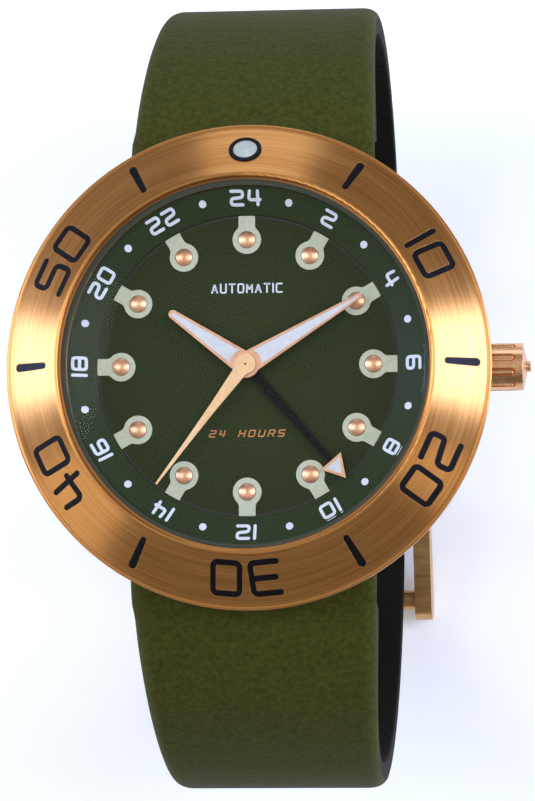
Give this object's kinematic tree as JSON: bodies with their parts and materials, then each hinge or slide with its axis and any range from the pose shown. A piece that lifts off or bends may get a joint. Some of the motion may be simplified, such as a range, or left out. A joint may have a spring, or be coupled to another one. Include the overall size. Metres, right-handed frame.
{
  "type": "dive watch",
  "caption": "Bronze dive watch with a turning minute bezel, a 24-hour hand and ring, a screw-down crown, an automatic movement and a closed rubber strap.",
  "frame": {"origin": "centre of the case back's outer face, on the axis of the hands", "axes": "+Z out of the dial, +Y towards 12 o'clock, +X towards 3 o'clock and the crown; the watch lies dial up on the back of its closed strap"},
  "size_m": [0.0495, 0.0788, 0.0706],
  "materials": {
    "bronze": "satin",
    "bronze_crown": "satin",
    "rose_gold": "polished",
    "steel": "satin",
    "nickel_plate": "satin",
    "rotor_metal": "satin",
    "wheel_brass": "satin",
    "hard_steel": "polished",
    "ruby": "gloss",
    "crystal_glass": "gloss",
    "ring_green": "satin",
    "dial_green": "matte",
    "lume": "matte",
    "black_lacquer": "gloss",
    "seal_rubber": "matte",
    "strap_rubber": "matte"
  },
  "bodies": {
    "case": {"case_middle": "bronze", "case_back": "steel", "case_back_gasket": "seal_rubber", "bezel_wire": "steel", "click_spring": "steel", "spring_bars": "steel", "crown_tube": "steel", "crystal": "crystal_glass", "crystal_gasket": "seal_rubber", "chapter_ring": "ring_green", "dial": "dial_green", "marker_lume": "lume", "marker_studs": "rose_gold", "main_plate": "nickel_plate", "train_bridge": "nickel_plate", "balance_cock": "nickel_plate", "jewel_bearings": "ruby", "bridge_screws": "steel", "movement_ring": "nickel_plate", "rotor_bearing": "nickel_plate", "hairspring": "hard_steel"},
    "bezel": {"bezel": "bronze", "bezel_numerals": "black_lacquer", "bezel_pip_ring": "black_lacquer", "bezel_pip": "lume", "bezel_gasket": "seal_rubber"},
    "crown_seal": {"crown_gasket": "seal_rubber"},
    "crown": {"crown": "bronze_crown", "winding_stem": "steel"},
    "minute": {"minute_hand": "rose_gold", "minute_hand_lume": "lume", "cannon_pinion": "hard_steel"},
    "hour": {"hour_hand": "rose_gold", "hour_hand_lume": "lume", "hour_wheel": "wheel_brass"},
    "gmt": {"gmt_hand": "black_lacquer", "gmt_hand_tip": "rose_gold", "gmt_hand_lume": "lume", "gmt_wheel": "wheel_brass"},
    "minute_wheel": {"minute_wheel": "wheel_brass"},
    "gmt_idler": {"gmt_idler_wheel": "wheel_brass"},
    "seconds": {"seconds_hand": "rose_gold", "fourth_wheel": "wheel_brass"},
    "third_wheel": {"third_wheel": "wheel_brass"},
    "centre_wheel": {"centre_wheel": "wheel_brass"},
    "barrel": {"mainspring_barrel": "wheel_brass", "mainspring": "hard_steel"},
    "barrel_arbor": {"barrel_arbor": "hard_steel"},
    "escape_wheel": {"escape_wheel": "hard_steel"},
    "pallet_fork": {"pallet_fork": "hard_steel"},
    "balance": {"balance_wheel": "wheel_brass"},
    "rotor": {"rotor": "rotor_metal"},
    "strap_upper": {"strap_upper": "strap_rubber", "keeper_fixed": "strap_rubber"},
    "strap_lower": {"strap_lower": "strap_rubber"},
    "buckle": {"buckle_frame": "bronze", "buckle_bar": "steel"},
    "tang": {"buckle_tang": "bronze"},
    "keeper": {"keeper_sliding": "strap_rubber"}
  },
  "joints": [
    {"name": "bezel_turn", "type": "hinge", "parent": "case", "child": "bezel", "pos_m": [0, 0, 0.011], "axis": [0, 0, 1], "continuous": true},
    {"name": "crown_pull", "type": "slide", "parent": "case", "child": "crown_seal", "axis": [1, 0, 0], "range_m": [0, 0.0028]},
    {"name": "crown_turn", "type": "hinge", "parent": "crown_seal", "child": "crown", "pos_m": [0.024, 0, 0.007], "axis": [1, 0, 0], "continuous": true},
    {"name": "minute_hand_turn", "type": "hinge", "parent": "case", "child": "minute", "pos_m": [0, 0, 0.012], "axis": [0, 0, 1], "continuous": true},
    {"name": "hour_hand_turn", "type": "hinge", "parent": "case", "child": "hour", "pos_m": [0, 0, 0.0117], "axis": [0, 0, 1], "continuous": true},
    {"name": "gmt_hand_turn", "type": "hinge", "parent": "case", "child": "gmt", "pos_m": [0, 0, 0.01135], "axis": [0, 0, 1], "continuous": true},
    {"name": "minute_wheel_turn", "type": "hinge", "parent": "case", "child": "minute_wheel", "pos_m": [0.00208, -0.0012, 0.0085], "axis": [0, 0, 1], "continuous": true},
    {"name": "gmt_idler_turn", "type": "hinge", "parent": "case", "child": "gmt_idler", "pos_m": [-0.00135, 0.00234, 0.0092], "axis": [0, 0, 1], "continuous": true},
    {"name": "seconds_hand_turn", "type": "hinge", "parent": "case", "child": "seconds", "pos_m": [0, 0, 0.0123], "axis": [0, 0, 1], "continuous": true},
    {"name": "third_wheel_turn", "type": "hinge", "parent": "case", "child": "third_wheel", "pos_m": [-0.00381, -0.00138, 0.005], "axis": [0, 0, 1], "continuous": true},
    {"name": "centre_wheel_turn", "type": "hinge", "parent": "case", "child": "centre_wheel", "pos_m": [0, 0, 0.0058], "axis": [0, 0, 1], "continuous": true},
    {"name": "barrel_turn", "type": "hinge", "parent": "case", "child": "barrel", "pos_m": [0.0036, 0.00429, 0.005], "axis": [0, 0, 1], "continuous": true},
    {"name": "escape_wheel_turn", "type": "hinge", "parent": "case", "child": "escape_wheel", "pos_m": [-0.00035, -0.00399, 0.005], "axis": [0, 0, 1], "continuous": true},
    {"name": "arbor_wind", "type": "hinge", "parent": "case", "child": "barrel_arbor", "pos_m": [0.0036, 0.00429, 0.005], "axis": [0, 0, 1], "continuous": true},
    {"name": "pallet_rock", "type": "hinge", "parent": "case", "child": "pallet_fork", "pos_m": [0.00145, -0.00535, 0.005], "axis": [0, 0, 1], "range_deg": [-5, 5]},
    {"name": "balance_swing", "type": "hinge", "parent": "case", "child": "balance", "pos_m": [0.0036, -0.0072, 0.005], "axis": [0, 0, 1], "range_deg": [-270, 270], "stiffness_Nm_per_rad": 0.00000016},
    {"name": "rotor_turn", "type": "hinge", "parent": "case", "child": "rotor", "pos_m": [0, 0, 0.0023], "axis": [0, 0, 1], "continuous": true},
    {"name": "strap_upper_swing", "type": "hinge", "parent": "case", "child": "strap_upper", "pos_m": [0, 0.02, 0.0034], "axis": [1, 0, 0], "range_deg": [-0.5, 0.5]},
    {"name": "strap_lower_swing", "type": "hinge", "parent": "case", "child": "strap_lower", "pos_m": [0, -0.02, 0.0034], "axis": [1, 0, 0], "range_deg": [-0.5, 0.5]},
    {"name": "buckle_swing", "type": "hinge", "parent": "strap_upper", "child": "buckle", "pos_m": [0, -0.00968, -0.04881], "axis": [1, 0, 0], "range_deg": [-1, 1]},
    {"name": "tang_lift", "type": "hinge", "parent": "buckle", "child": "tang", "pos_m": [0, -0.00968, -0.04881], "axis": [1, 0, 0], "range_deg": [0, 3]},
    {"name": "keeper_slide", "type": "hinge", "parent": "strap_upper", "child": "keeper", "pos_m": [0, 0, 0.0034], "axis": [1, 0, 0], "range_deg": [-4.2, 3]}
  ],
  "couplings": [
    {"joint": "minute_wheel_turn", "follows": "minute_hand_turn", "ratio": -0.33333},
    {"joint": "hour_hand_turn", "follows": "minute_hand_turn", "ratio": 0.083333},
    {"joint": "gmt_idler_turn", "follows": "minute_hand_turn", "ratio": -0.083333},
    {"joint": "gmt_hand_turn", "follows": "minute_hand_turn", "ratio": 0.041667},
    {"joint": "third_wheel_turn", "follows": "seconds_hand_turn", "ratio": -0.13333},
    {"joint": "centre_wheel_turn", "follows": "seconds_hand_turn", "ratio": 0.016667},
    {"joint": "barrel_turn", "follows": "seconds_hand_turn", "ratio": -0.002381},
    {"joint": "escape_wheel_turn", "follows": "seconds_hand_turn", "ratio": -10},
    {"joint": "strap_lower_swing", "follows": "strap_upper_swing", "ratio": -1}
  ]
}
